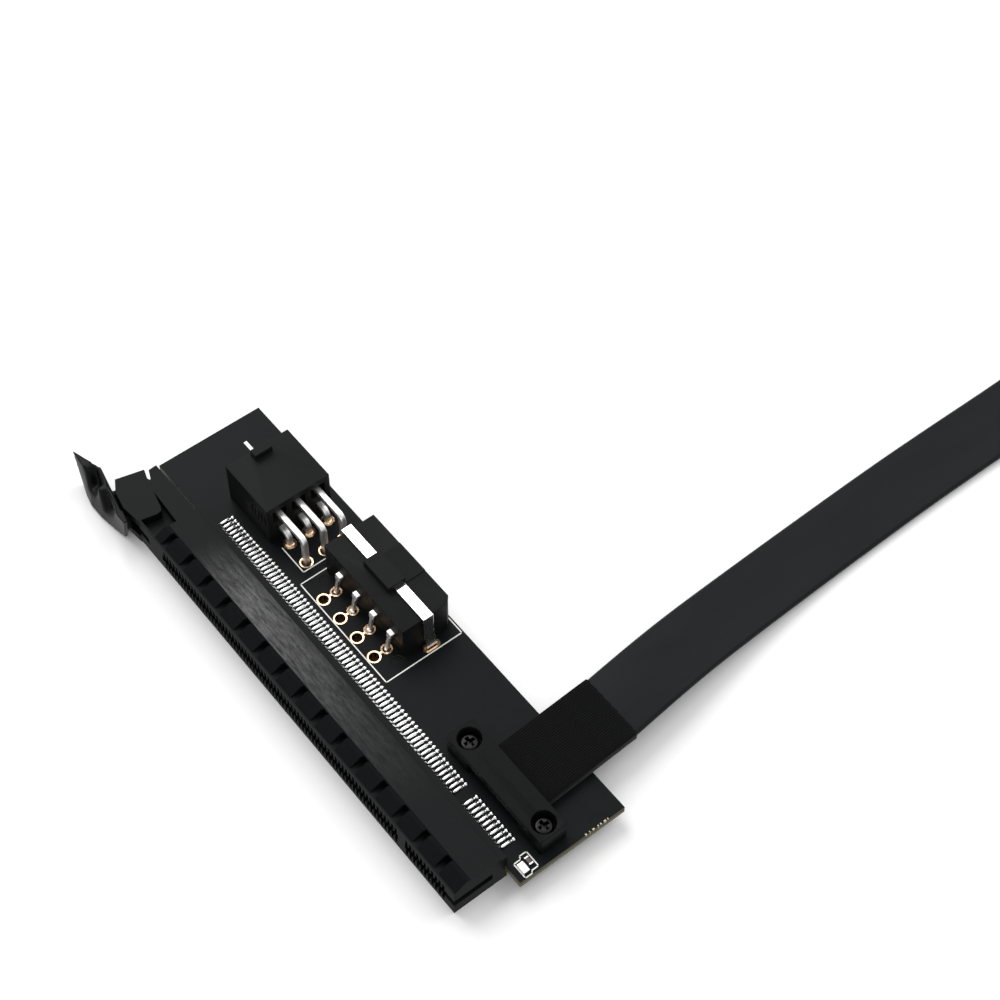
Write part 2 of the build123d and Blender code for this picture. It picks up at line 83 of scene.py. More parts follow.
bpy.ops.object.select_all(action="DESELECT")
bpy.ops.object.camera_add(location=camera_place)
camera = bpy.context.object
camera.name = "photo_camera"
camera.data.lens = 75.77
camera.data.sensor_width = 36.0
camera.data.clip_start = 0.01
camera.data.clip_end = 20.0
sight = (camera_aim - camera_place).to_track_quat("-Z", "Y").to_matrix().to_4x4()
roll = Matrix.Rotation(camera_roll, 4, "Z")
camera.matrix_world = Matrix.Translation(camera_place) @ sight @ roll
bpy.context.scene.camera = camera
print("camera is", round((camera_aim - camera_place).length, 3), "m from its aim")

# %% [markdown]
# ## The flat cable
# The cable is a flat bundle of fine wires in a smooth black jacket, 13.5 mm wide and 1.6 mm
# thick. A cable lies in one smooth curve, so its line is a NURBS spline with the control points
# of the solid's route. A rounded outline is swept along that line and kept upright.

# %% Cable line
cable_points = [
    (0.0443, 0.0216, 0.0055), (0.0433, 0.0310, 0.0055), (0.0417, 0.0435, 0.0040),
    (0.0404, 0.0590, 0.0021), (0.0395, 0.0770, 0.0010), (0.0391, 0.0980, 0.00095),
    (0.0392, 0.1140, 0.00095), (0.0395, 0.1300, 0.0010), (0.0399, 0.1420, 0.0022),
    (0.0402, 0.1530, 0.0042), (0.0404, 0.1640, 0.0055), (0.0404, 0.1740, 0.0055),
]


def new_object(name, data):
    """A new object in the scene that holds this mesh or curve."""
    thing = bpy.data.objects.new(name, data)
    bpy.context.scene.collection.objects.link(thing)
    return thing


def nurbs_line(name, points):
    """A curve object with one open NURBS spline of order 3."""
    curve = bpy.data.curves.new(name, "CURVE")
    curve.dimensions = "3D"
    curve.twist_mode = "Z_UP"
    curve.resolution_u = 16
    spline = curve.splines.new("NURBS")
    spline.points.add(len(points) - 1)
    for point, place in zip(spline.points, points):
        point.co = (*place, 1.0)
    spline.order_u = 3
    spline.use_endpoint_u = True
    return new_object(name, curve)


cable_line = nurbs_line("cable_line", cable_points)
line_mesh = bpy.data.meshes.new_from_object(cable_line)
cable_path = [vertex.co.copy() for vertex in line_mesh.vertices]

# %% Cable band
cable_width = 0.0135
cable_thickness = 0.0016


def select_only(first, *others):
    """Select one object or a few, and make the first the active one."""
    if bpy.context.object and bpy.context.object.mode != "OBJECT":
        bpy.ops.object.mode_set(mode="OBJECT")
    bpy.ops.object.select_all(action="DESELECT")
    for thing in (first, *others):
        thing.select_set(True)
    bpy.context.view_layer.objects.active = first


def shade_smooth_below(degrees):
    """Shade the active piece smooth, apart from edges sharper than this."""
    bpy.ops.object.shade_smooth_by_angle(angle=math.radians(degrees))


def band_outline(width, thickness, sides=6):
    """Points round a flat band whose two edges are half round."""
    radius = thickness / 2
    reach = width / 2 - radius
    points = []
    for side in (1, -1):
        for n in range(sides + 1):
            angle = math.pi * n / sides - math.pi / 2
            outward = reach + radius * math.cos(angle)
            points.append(Vector((side * outward, side * radius * math.sin(angle))))
    return points


def band_along(name, path, outline):
    """Sweep an outline along a path, keeping the outline upright."""
    mesh = bmesh.new()
    rings = []
    for n, here in enumerate(path):
        ahead = path[min(n + 1, len(path) - 1)] - path[max(n - 1, 0)]
        across = ahead.cross(Vector((0, 0, 1))).normalized()
        up = across.cross(ahead).normalized()
        rings.append([mesh.verts.new(here + across * p.x + up * p.y) for p in outline])
    for first, second in zip(rings, rings[1:]):
        for n in range(len(outline)):
            m = (n + 1) % len(outline)
            mesh.faces.new((first[n], first[m], second[m], second[n]))
    mesh.faces.new(rings[0][::-1])
    mesh.faces.new(rings[-1])
    bmesh.ops.recalc_face_normals(mesh, faces=mesh.faces)
    data = bpy.data.meshes.new(name)
    mesh.to_mesh(data)
    mesh.free()
    return new_object(name, data)


cable = band_along("riser_cable", cable_path, band_outline(cable_width, cable_thickness))
select_only(cable)
shade_smooth_below(50)
bpy.data.objects.remove(cable_line)
bpy.data.meshes.remove(line_mesh)
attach(cable, "riser")
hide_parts("flat_cable")
print("cable band has", len(cable.data.polygons), "faces")

# %% [markdown]
# ## Floor and light
# The card lies on a white table in a soft studio. One large lamp beyond it throws the faint
# shadows towards the camera, a weaker one fills them, and the world gives the rest. The floor
# glows white in reflections, but it is a real surface, so it still takes the shadow.

# %% Colours and nodes
def linear(hex_colour):
    """An sRGB hex colour as linear red, green, blue and alpha."""
    values = [int(hex_colour[n:n + 2], 16) / 255 for n in (1, 3, 5)]
    return [v / 12.92 if v <= 0.04045 else ((v + 0.055) / 1.055) ** 2.4 for v in values] + [1.0]


def add(tree, kind, sockets=None, **settings):
    """Add one node. A socket is given a value, or another node's output to be linked to."""
    node = tree.nodes.new(kind)
    for name, value in settings.items():
        setattr(node, name, value)
    for name, value in (sockets or {}).items():
        if isinstance(value, bpy.types.NodeSocket):
            tree.links.new(value, node.inputs[name])
        else:
            node.inputs[name].default_value = value
    return node


def empty_tree(owner):
    """The node tree of a material or a world, with nothing in it."""
    owner.use_nodes = True
    owner.node_tree.nodes.clear()
    return owner.node_tree


# %% World
white = linear("#ffffff")
world = bpy.data.worlds.new("studio")
bpy.context.scene.world = world
tree = empty_tree(world)
rays = add(tree, "ShaderNodeLightPath")
seen = rays.outputs["Is Camera Ray"]
for ray in ("Is Glossy Ray", "Is Transmission Ray"):
    either = add(tree, "ShaderNodeMath", {0: seen, 1: rays.outputs[ray]}, operation="MAXIMUM")
    seen = either.outputs[0]
fill = add(tree, "ShaderNodeBackground", {"Color": white, "Strength": 0.72})
backdrop = add(tree, "ShaderNodeBackground", {"Color": white, "Strength": 1.0})
sky = add(
    tree, "ShaderNodeMixShader",
    {0: seen, 1: fill.outputs[0], 2: backdrop.outputs[0]},
)
add(tree, "ShaderNodeOutputWorld", {"Surface": sky.outputs[0]})
print("world nodes:", len(tree.nodes))

# %% Floor
bpy.ops.object.select_all(action="DESELECT")
bpy.ops.mesh.primitive_plane_add(size=8.0, location=(0, 0, 0))
floor = bpy.context.object
floor.name = "studio_floor"
paper = bpy.data.materials.new("matt_white_paper_floor")
tree = empty_tree(paper)
rays = add(tree, "ShaderNodeLightPath")
matt = add(tree, "ShaderNodeBsdfDiffuse", {"Color": linear("#f4f4f4")})
glow = add(tree, "ShaderNodeEmission", {"Color": white, "Strength": 0.02})
lit = add(tree, "ShaderNodeAddShader", {0: matt.outputs[0], 1: glow.outputs[0]})
white_glow = add(tree, "ShaderNodeEmission", {"Color": white, "Strength": 1.0})
for_camera = add(
    tree, "ShaderNodeMixShader",
    {0: rays.outputs["Is Camera Ray"], 1: matt.outputs[0], 2: lit.outputs[0]},
)
for_gloss = add(
    tree, "ShaderNodeMixShader",
    {0: rays.outputs["Is Glossy Ray"], 1: for_camera.outputs[0], 2: white_glow.outputs[0]},
)
add(tree, "ShaderNodeOutputMaterial", {"Surface": for_gloss.outputs[0]})
floor.data.materials.append(paper)
print("floor nodes:", len(tree.nodes))

# %% Lamps
lamp_aim = Vector((0, 0.02, 0))


def lamp(name, place, size, watts):
    """A square lamp that points at the card."""
    bpy.ops.object.light_add(type="AREA", location=place)
    light = bpy.context.object
    light.name = name
    light.data.size = size
    light.data.energy = watts
    light.rotation_euler = (lamp_aim - Vector(place)).to_track_quat("-Z", "Y").to_euler()
    return light


key_lamp = lamp("key_softbox", (-0.75, 0.05, 0.95), 0.8, 9.0)
fill_lamp = lamp("fill_softbox", (0.1, 0.9, 0.9), 0.8, 4.0)
bpy.context.scene.view_settings.view_transform = "Standard"
print("lamps:", key_lamp.data.energy, fill_lamp.data.energy)

# %% [markdown]
# ## Finishes
# Every finish starts from the surface's own position, its Object coordinates in metres, and a
# pattern's scale is worked out from a real size in millimetres. The same steps serve each
# finish: a colour that varies a little, a roughness that varies with it, and a small bump.

# %% Finish helpers
def per(size_mm):
    """The scale at which a texture's features are that many millimetres apart."""
    return mm_per_metre / size_mm


def start_finish(name):
    """A new material with its coordinates, its shader and its output."""
    material = bpy.data.materials.new(name)
    tree = empty_tree(material)
    where = add(tree, "ShaderNodeTexCoord").outputs["Object"]
    shader = add(tree, "ShaderNodeBsdfPrincipled")
    add(tree, "ShaderNodeOutputMaterial", {"Surface": shader.outputs[0]})
    return material, tree, where, shader


def mottle(tree, shader, where, size_mm, first, second, rough, bump_mm, stretch=(1, 1, 1)):
    """Colour, roughness and bump from one noise. Gives back the colour and the normal."""
    stretched = add(tree, "ShaderNodeMapping", {"Vector": where, "Scale": stretch})
    noise = add(
        tree, "ShaderNodeTexNoise",
        {"Vector": stretched.outputs[0], "Scale": per(size_mm), "Detail": 4.0, "Roughness": 0.6},
    ).outputs["Fac"]
    ramp = add(tree, "ShaderNodeValToRGB", {"Fac": noise})
    for stop, place, colour in zip(ramp.color_ramp.elements, (0.3, 0.7), (first, second)):
        stop.position = place
        stop.color = linear(colour)
    shine = add(
        tree, "ShaderNodeMapRange", {"Value": noise, "To Min": rough[0], "To Max": rough[1]},
    )
    bump = add(
        tree, "ShaderNodeBump",
        {"Height": noise, "Distance": bump_mm / mm_per_metre, "Strength": 0.6},
    )
    tree.links.new(ramp.outputs["Color"], shader.inputs["Base Color"])
    tree.links.new(shine.outputs["Result"], shader.inputs["Roughness"])
    tree.links.new(bump.outputs["Normal"], shader.inputs["Normal"])
    return ramp.outputs["Color"], bump.outputs["Normal"]


def surface_height(tree):
    """The Z of the surface's normal: 1 where it faces up, 0 where it stands upright."""
    facing = add(tree, "ShaderNodeNewGeometry").outputs["True Normal"]
    return add(tree, "ShaderNodeSeparateXYZ", {0: facing}).outputs["Z"]


def upright_faces(tree):
    """1 on a surface that stands upright, and 0 on one that lies flat."""
    flatness = add(tree, "ShaderNodeMath", {0: surface_height(tree)}, operation="ABSOLUTE")
    return add(
        tree, "ShaderNodeMath", {0: flatness.outputs[0], 1: 0.5}, operation="LESS_THAN",
    ).outputs[0]


# %% [markdown]
# ### The board
# The board is glass fibre laminate under a satin black lacquer, the solder mask. On its cut
# edges, which the surface normal picks out, the bare laminate shows in a brownish green.

# %% Solder mask and laminate
mask_finish, tree, where, shader = start_finish("satin_solder_mask_on_fibre_laminate")
lacquer, _ = mottle(tree, shader, where, 2.5, "#0c0e0f", "#111314", (0.4, 0.48), 0.004)
shader.inputs["Specular IOR Level"].default_value = 0.07
is_edge = upright_faces(tree)
layers = add(
    tree, "ShaderNodeTexWave",
    {"Vector": where, "Scale": per(4.0), "Distortion": 2.0, "Detail": 2.0}, bands_direction="Z",
)
laminate = add(tree, "ShaderNodeValToRGB", {"Fac": layers.outputs["Fac"]})
laminate.color_ramp.elements[0].color = linear("#2c2a1a")
laminate.color_ramp.elements[1].color = linear("#5b5838")
surface = add(
    tree, "ShaderNodeMix", {0: is_edge, 6: lacquer, 7: laminate.outputs["Color"]},
    data_type="RGBA",
)
tree.links.new(surface.outputs[2], shader.inputs["Base Color"])
print("board finish:", mask_finish.name)

# %% [markdown]
# ### Moulded plastics
# The slot is a glass filled polyester, moulded matt black. A grey sheen is painted onto the
# up-facing faces of its raised band, in streaks along the slot, while its slopes and sides stay
# dull. The painted sheen is strongest near the latch and fades slowly towards the other end.
# The sockets and the cable clamp are smoother plastics.

# %% Slot plastic with a painted sheen on its band
sheen_height = (0.0074, 0.0076)
sheen_start = (-0.028, -0.01)
sheen_end = (0.041, -0.009)

slot_finish, tree, where, shader = start_finish("moulded_black_polyester_painted_sheen")
moulded, _ = mottle(tree, shader, where, 0.35, "#0d0e0f", "#131415", (0.5, 0.62), 0.01)
flat = add(
    tree, "ShaderNodeMapRange",
    {"Value": surface_height(tree), "From Min": 0.9, "From Max": 0.99},
)
polish = add(
    tree, "ShaderNodeMapRange",
    {"Value": flat.outputs["Result"], "To Min": 0.03, "To Max": 0.09},
)
tree.links.new(polish.outputs["Result"], shader.inputs["Specular IOR Level"])
place = add(tree, "ShaderNodeSeparateXYZ", {0: where})
above, along, tail = (
    add(
        tree, "ShaderNodeMapRange",
        {"Value": place.outputs[axis], "From Min": limits[0], "From Max": limits[1]},
        interpolation_type=blend,
    )
    for axis, limits, blend in (
        ("Z", sheen_height, "LINEAR"), ("X", sheen_start, "SMOOTHSTEP"), ("X", sheen_end, "LINEAR"),
    )
)
fade = add(tree, "ShaderNodeMath", {0: tail.outputs[0], 1: 1.5}, operation="POWER")

# %% Streaks in the painted sheen
drawn_out = add(tree, "ShaderNodeMapping", {"Vector": where, "Scale": (0.2, 1, 1)})
streaks = add(
    tree, "ShaderNodeTexNoise",
    {"Vector": drawn_out.outputs[0], "Scale": per(0.6), "Detail": 8.0, "Roughness": 0.8},
)
contrast = add(
    tree, "ShaderNodeMapRange",
    {
        "Value": streaks.outputs["Fac"], "From Min": 0.38, "From Max": 0.66,
        "To Min": 0.15, "To Max": 1.0,
    },
)
# The grey mixed in below is a painted sheen: it lies only on faces that look up, along the band
# near the latch.
painted_sheen_mask = above.outputs[0]
for factor in (flat, along, fade, contrast):
    painted_sheen_mask = add(
        tree, "ShaderNodeMath", {0: painted_sheen_mask, 1: factor.outputs[0]}, operation="MULTIPLY",
    ).outputs[0]
painted_sheen_mix = add(tree, "ShaderNodeMix", {0: painted_sheen_mask, 6: moulded, 7: linear("#6c6c6d")}, data_type="RGBA")
tree.links.new(painted_sheen_mix.outputs[2], shader.inputs["Base Color"])
print("slot finish:", slot_finish.name, "with", len(tree.nodes), "nodes")

# %% Smooth plastics
def plastic(name, size_mm, first, second, rough, bump_mm, specular, stretch=(1, 1, 1)):
    """A mottled finish that isn't metal."""
    material, tree, where, shader = start_finish(name)
    mottle(tree, shader, where, size_mm, first, second, rough, bump_mm, stretch)
    shader.inputs["Specular IOR Level"].default_value = specular
    return material


# Nylon comes out of its mould with a soft gloss, and the latch has the most of it.
latch_finish = plastic(
    "moulded_black_nylon_latch", 0.8, "#050606", "#090a0b", (0.3, 0.4), 0.004, 0.09,
)
socket_finish = plastic(
    "moulded_black_nylon_socket", 0.4, "#0b0c0c", "#101111", (0.5, 0.6), 0.006, 0.1,
)
# The clamp's bars are cut from acetal, which leaves faint marks along them.
clamp_finish = plastic(
    "machined_black_acetal", 0.5, "#080909", "#0d0e0e", (0.42, 0.52), 0.004, 0.07, (0.2, 1, 1),
)
# The jacket is drawn over the wires, so its slight unevenness runs lengthwise.
jacket_finish = plastic(
    "smooth_black_polyolefin_jacket", 3.0, "#0d0f10", "#121415", (0.42, 0.5), 0.006, 0.11,
    (1, 0.15, 1),
)
# The lamp's lens is glossy and milky, the resistor is glazed, and ink dries matt.
lens_finish = plastic("milky_epoxy_lens", 0.5, "#e9e9e4", "#f6f6f2", (0.2, 0.3), 0.002, 0.5)
ceramic_finish = plastic(
    "glazed_resistor_body", 0.3, "#3b2f33", "#57474a", (0.25, 0.4), 0.003, 0.5,
)
ink_finish = plastic(
    "screen_printed_white_ink", 0.25, "#e6e6e2", "#f4f4f0", (0.5, 0.6), 0.004, 0.3,
)
print("finishes so far:", len(bpy.data.materials))

# %% [markdown]
# ### Metals
# The contacts, pins and strap are tinned, the rings and fingers are gold over copper, and the
# screws are black oxide on steel. A metal takes its look from what it reflects, so most of its
# work is done by roughness. The strap has fine marks along its length from the rolling mill.

# %% Metal finishes
def metal(name, size_mm, first, second, rough, bump_mm, stretch=(1, 1, 1)):
    """A mottled finish of bare or plated metal."""
    material, tree, where, shader = start_finish(name)
    mottle(tree, shader, where, size_mm, first, second, rough, bump_mm, stretch)
    shader.inputs["Metallic"].default_value = 1.0
    return material


tin_finish = metal("tinned_spring_bronze", 0.6, "#e8e8e8", "#fafafa", (0.15, 0.22), 0.003)
pin_finish = metal("tinned_brass_pin", 0.5, "#d2d2d0", "#f0f0ee", (0.36, 0.5), 0.004, (1, 1, 0.2))
strap_finish = metal(
    "rolled_tinned_steel_strip", 0.25, "#d9d8d6", "#f6f6f5", (0.1, 0.22), 0.003, (0.05, 1, 1),
)
solder_finish = metal("reflowed_solder", 0.4, "#e2e2e2", "#f8f8f8", (0.2, 0.3), 0.003)
screw_finish = metal("black_oxide_screw_steel", 0.2, "#1b1b1c", "#2e2e2f", (0.24, 0.36), 0.003)
print("finishes with the metals:", len(bpy.data.materials))

# %% Gold plate
# Gold over copper gives warm, pale highlights. Inside a drilled barrel the plate is painted a dim
# brown as shade, and the surface normal tells the barrel from the flat rings.
gold_finish, tree, where, shader = start_finish("thin_gold_plate_on_copper")
gold, _ = mottle(tree, shader, where, 0.4, "#e2b283", "#fbdcbb", (0.2, 0.32), 0.003)
shader.inputs["Metallic"].default_value = 1.0
# The dim brown on the upright barrel walls is painted shade.
barrel_shade = add(
    tree, "ShaderNodeMix", {0: upright_faces(tree), 6: gold, 7: linear("#7d553b")},
    data_type="RGBA",
)
tree.links.new(barrel_shade.outputs[2], shader.inputs["Base Color"])
# A dark brown that stands for the shade seen down the holes.
painted_hole_shade = plastic(
    "painted_shade_in_the_holes", 0.4, "#3a2319", "#4a2f22", (0.5, 0.6), 0.004, 0.2,
)
print("gold finish:", gold_finish.name)

# %% [markdown]
# ### The woven sleeve
# The cable starts in a sleeve of fine black tape. Its ribs are modelled, and the yarn crosses
# them as a small wave. A wave texture makes twenty bands for each unit of scale.

# %% Woven finish
yarn_mm = 0.5
bands_per_scale = 20

sleeve_finish, tree, where, shader = start_finish("woven_black_polyester_tape")
_, normal = mottle(tree, shader, where, 0.3, "#050506", "#09090a", (0.75, 0.85), 0.01)
shader.inputs["Specular IOR Level"].default_value = 0.03
yarn = add(
    tree, "ShaderNodeTexWave",
    {"Vector": where, "Scale": per(yarn_mm) / bands_per_scale, "Distortion": 0.6},
    bands_direction="Y",
)
yarn_bump = add(
    tree, "ShaderNodeBump",
    {"Height": yarn.outputs["Fac"], "Distance": 0.00005, "Strength": 0.6, "Normal": normal},
)
tree.links.new(yarn_bump.outputs[0], shader.inputs["Normal"])
shader.inputs["Sheen Weight"].default_value = 0.1
print("finishes:", len(bpy.data.materials))

# %% Give the solids their finishes
finishes = {
    "circuit_board": mask_finish, "plug_board": mask_finish,
    "slot_housing": slot_finish, "latch_lever": latch_finish,
    "slot_contacts_upper": tin_finish, "slot_contacts_lower": tin_finish,
    "six_pin_socket": socket_finish, "four_pin_socket": socket_finish,
    "six_pin_lower_pins": pin_finish, "six_pin_upper_pins": pin_finish,
    "four_pin_contacts": pin_finish, "hold_down_strap": strap_finish,
    "clamp_bar_top": clamp_finish, "clamp_bar_bottom": clamp_finish,
    "plug_clamp_bar_top": clamp_finish, "plug_clamp_bar_bottom": clamp_finish,
    "clamp_screws": screw_finish, "plug_clamp_screws": screw_finish,
    "clamp_nuts": screw_finish, "plug_clamp_nuts": screw_finish,
    "cable_sleeve": sleeve_finish, "plug_cable_sleeve": sleeve_finish,
    "status_led": lens_finish, "led_resistor": ceramic_finish, "flat_cable": jacket_finish,
}


def dress(thing, finish):
    """Put one finish in every slot of a mesh, or add a slot for it."""
    if not thing.material_slots:
        thing.data.materials.append(finish)
    for slot in thing.material_slots:
        slot.material = finish


for name, finish in finishes.items():
    dress(nodes[name], finish)
dress(cable, jacket_finish)
print("solids without a finish:", sorted(set(nodes) - set(finishes)))

# %% [markdown]
# ## Working by hand
# Everything is deselected, a primitive is added, and edit mode extrudes, bevels or cuts what is
# picked there. These helpers are the steps that come back.

# %% Edit mode, there and back
def edit_all():
    """Enter edit mode with everything selected."""
    bpy.ops.object.mode_set(mode="EDIT")
    bpy.ops.mesh.select_all(action="SELECT")


def leave_edit():
    """Go back to object mode."""
    bpy.ops.object.mode_set(mode="OBJECT")


def edit_picked(piece, test, what="vertices"):
    """Enter edit mode with just the vertices, edges or faces that pass a test."""
    kinds = ("vertices", "edges", "polygons")
    for kind in kinds:
        elements = getattr(piece.data, kind)
        elements.foreach_set("select", [False] * len(elements))
    for element in getattr(piece.data, what):
        element.select = test(element)
    bpy.context.tool_settings.mesh_select_mode = [kind == what for kind in kinds]
    bpy.ops.object.mode_set(mode="EDIT")


def extrude(*move):
    """Extrude what is selected, and move it."""
    bpy.ops.mesh.extrude_region_move(TRANSFORM_OT_translate={"value": move})


def start(primitive, location=(0, 0, 0), **sizes):
    """Deselect everything, add a primitive, and move its place into its mesh."""
    bpy.ops.object.select_all(action="DESELECT")
    primitive(location=location, **sizes)
    bpy.ops.object.transform_apply(location=True, rotation=True, scale=True)
    return bpy.context.object


def cylinder(middle, depth, radius, vertices, **more):
    """An upright cylinder on the Z axis, as a start."""
    return start(
        bpy.ops.mesh.primitive_cylinder_add, (0, 0, middle),
        vertices=vertices, radius=radius, depth=depth, **more,
    )


def slab(low, high):
    """A block between two corners, as the start of a plate or a bar."""
    block = start(bpy.ops.mesh.primitive_cube_add, size=1.0)
    edit_all()
    size = [b - a for a, b in zip(low, high)]
    bpy.ops.transform.resize(value=size, center_override=(0, 0, 0))
    bpy.ops.transform.translate(value=[(a + b) / 2 for a, b in zip(low, high)])
    leave_edit()
    return block


# %% Bevels, copies and joins
def bevel_all(offset, segments=1):
    """Bevel every edge of the active piece."""
    edit_all()
    bpy.ops.mesh.bevel(offset=offset, segments=segments, affect="EDGES")
    leave_edit()


def round_edges(piece, width, sharper_than, smooth_below):
    """Bevel just the sharp edges, and shade the rest smooth."""
    bevel = piece.modifiers.new("edge", "BEVEL")
    bevel.width = width
    bevel.segments = 2
    bevel.limit_method = "ANGLE"
    bevel.angle_limit = math.radians(sharper_than)
    bpy.ops.object.modifier_apply(modifier="edge")
    shade_smooth_below(smooth_below)


def join(pieces, name):
    """Join pieces to one object with this name."""
    select_only(*pieces)
    bpy.ops.object.join()
    pieces[0].name = name
    return pieces[0]


def copies(piece, name, places):
    """Copies of a piece at other places, joined to one object, and the piece removed."""
    made = []
    for x, y in places:
        twin = new_object(name, piece.data.copy())
        twin.data.transform(Matrix.Translation((x, y, 0)))
        made.append(twin)
    bpy.data.objects.remove(piece)
    return join(made, name)


def settle(piece, finish, slot_name, *replaced, body="riser"):
    """Bring a piece from millimetres to metres, dress it and let it ride."""
    select_only(piece)
    piece.scale = (1 / mm_per_metre,) * 3
    bpy.ops.object.transform_apply(location=True, rotation=True, scale=True)
    dress(piece, finish)
    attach(piece, body)
    if replaced:
        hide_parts(*replaced)
    return piece


# %% [markdown]
# ## Softened edges
# Nothing moulded has a perfectly sharp edge, and the thin line of light along an edge tells the
# eye how hard it is. A merged copy of a solid gets a small Bevel and stands for the solid.

# %% Soften a solid
merge_distance = 0.002
bar_cut, bar_cut_left = 0.9, 0.4


def solid_copy(node, name):
    """A merged copy of a solid, in millimetres, with no modifier yet."""
    data = nodes[node].data.copy()
    data.transform(Matrix.Scale(mm_per_metre, 4))
    piece = new_object(name, data)
    select_only(piece)
    edit_all()
    bpy.ops.mesh.remove_doubles(threshold=merge_distance)
    leave_edit()
    return piece


def square_corners(piece):
    """Bring the cut corners of a bar closer to square."""
    places = [vertex.co for vertex in piece.data.vertices]
    for axis, other in ((0, 1), (1, 0)):
        ends = (min(place[axis] for place in places), max(place[axis] for place in places))
        sides = (min(place[other] for place in places), max(place[other] for place in places))
        for place in places:
            if min(abs(place[axis] - end) for end in ends) < 0.01:
                for side, inward in ((sides[0], 1), (sides[1], -1)):
                    if abs(abs(place[other] - side) - bar_cut) < 0.02:
                        place[other] = side + inward * bar_cut_left


def soften(node, name, finish, slot_name, width_mm):
    """A merged, bevelled copy of a solid that stands for it."""
    piece = solid_copy(node, name)
    edit_all()
    bpy.ops.mesh.dissolve_limited(angle_limit=math.radians(2))
    leave_edit()
    if finish == clamp_finish:
        square_corners(piece)
    round_edges(piece, width_mm, sharper_than=40, smooth_below=25)
    return settle(piece, finish, slot_name, node)


for node, name, finish, slot_name, width_mm in (
    ("slot_contacts_upper", "spring_contacts_upper", tin_finish, "tinned_contact", 0.05),
    ("slot_contacts_lower", "spring_contacts_lower", tin_finish, "tinned_contact", 0.05),
    ("six_pin_socket", "six_way_socket", socket_finish, "socket_plastic", 0.12),
    ("four_pin_socket", "four_way_socket", socket_finish, "socket_plastic", 0.12),
    ("clamp_bar_top", "cable_clamp_bar", clamp_finish, "clamp_plastic", 0.15),
    ("clamp_bar_bottom", "cable_clamp_foot", clamp_finish, "clamp_plastic", 0.15),
    ("plug_clamp_bar_top", "plug_clamp_bar", clamp_finish, "clamp_plastic", 0.15),
    ("plug_clamp_bar_bottom", "plug_clamp_foot", clamp_finish, "clamp_plastic", 0.15),
    ("hold_down_strap", "steel_strap", strap_finish, "strap_steel", 0.1),
):
    piece = soften(node, name, finish, slot_name, width_mm)
    print(piece.name, "has", len(piece.data.polygons), "faces")

# %% [markdown]
# ## The card latch
# The latch is one nylon moulding with no sharp edge anywhere, and bevels on the solid's many
# short edges would crumple. A Remesh modifier lays an even skin of small squares over a copy of
# it instead. A Smooth modifier relaxes that skin a little, and a second one, held to the hollows
# by a vertex group, melts them into dimples.

# %% Card latch
tip_reach = 0.5
tip_lift = Vector((-0.1, 0.0, 0.2))
skin_square = 0.14
hollows_x, hollows_z = (-55.3, -42.3), (2.6, 7.3)

latch = solid_copy("latch_lever", "card_latch")
latch_tip = min(vertex.co.x for vertex in latch.data.vertices)
for vertex in latch.data.vertices:
    if vertex.co.x < latch_tip + tip_reach:
        vertex.co += tip_lift
skin = latch.modifiers.new("skin", "REMESH")
skin.mode = "VOXEL"
skin.voxel_size = skin_square
bpy.ops.object.modifier_apply(modifier="skin")
dimples = latch.vertex_groups.new(name="dimples")
hollow_points = [
    vertex.index for vertex in latch.data.vertices
    if hollows_x[0] < vertex.co.x < hollows_x[1] and hollows_z[0] < vertex.co.z < hollows_z[1]
]
dimples.add(hollow_points, 1.0, "REPLACE")
for name, rounds, group in (("relax", 5, ""), ("melt", 170, "dimples")):
    relax = latch.modifiers.new(name, "SMOOTH")
    relax.factor = 0.5
    relax.iterations = rounds
    relax.vertex_group = group
    bpy.ops.object.modifier_apply(modifier=name)
latch.vertex_groups.clear()
bpy.ops.object.shade_smooth()
settle(latch, latch_finish, "latch_plastic", "latch_lever", body="latch")
print("latch has", len(latch.data.polygons), "faces")

# %% [markdown]
# ## The gold rings
# Each hole that a pin goes through is lined and ringed with gold plated copper. One ring is an
# open tube whose rims are extruded and spread into flats, and which then gets its thickness
# towards the hole. Copies, each with its own mesh, go in the other holes.

# %% One ring
plate_thickness = 0.05


def open_tube(radius):
    """A tube as long as the board is thick, open at both ends."""
    middle, depth = (board_top + board_bottom) / 2, board_top - board_bottom
    return cylinder(middle, depth, radius, 28, end_fill_type="NOTHING")


def plate(tube, spread_x, spread_y):
    """Spread a tube's rims into flats and give the sheet its thickness."""
    for height in (board_top, board_bottom):
        edit_picked(tube, lambda vertex: abs(vertex.co.z - height) < 0.001)
        bpy.ops.mesh.select_mode(type="EDGE")
        bpy.ops.mesh.extrude_edges_move()
        bpy.ops.transform.resize(value=(spread_x, spread_y, 1), center_override=(0, 0, height))
        leave_edit()
    wall = tube.modifiers.new("plate", "SOLIDIFY")
    wall.thickness = plate_thickness
    wall.offset = -1.0
    bpy.ops.object.modifier_apply(modifier="plate")
    edit_all()
    bpy.ops.mesh.normals_make_consistent(inside=False)
    leave_edit()
    return tube


def one_ring(hole_radius, ring_reach):
    """A plated ring that lines a hole and lies flat round both of its ends."""
    spread = ring_reach / hole_radius
    return plate(open_tube(hole_radius), spread, spread)


ring = one_ring(hole_radius=1.03, ring_reach=1.28)
heights = [vertex.co.z for vertex in ring.data.vertices]
print("ring from", round(min(heights), 3), "to", round(max(heights), 3))

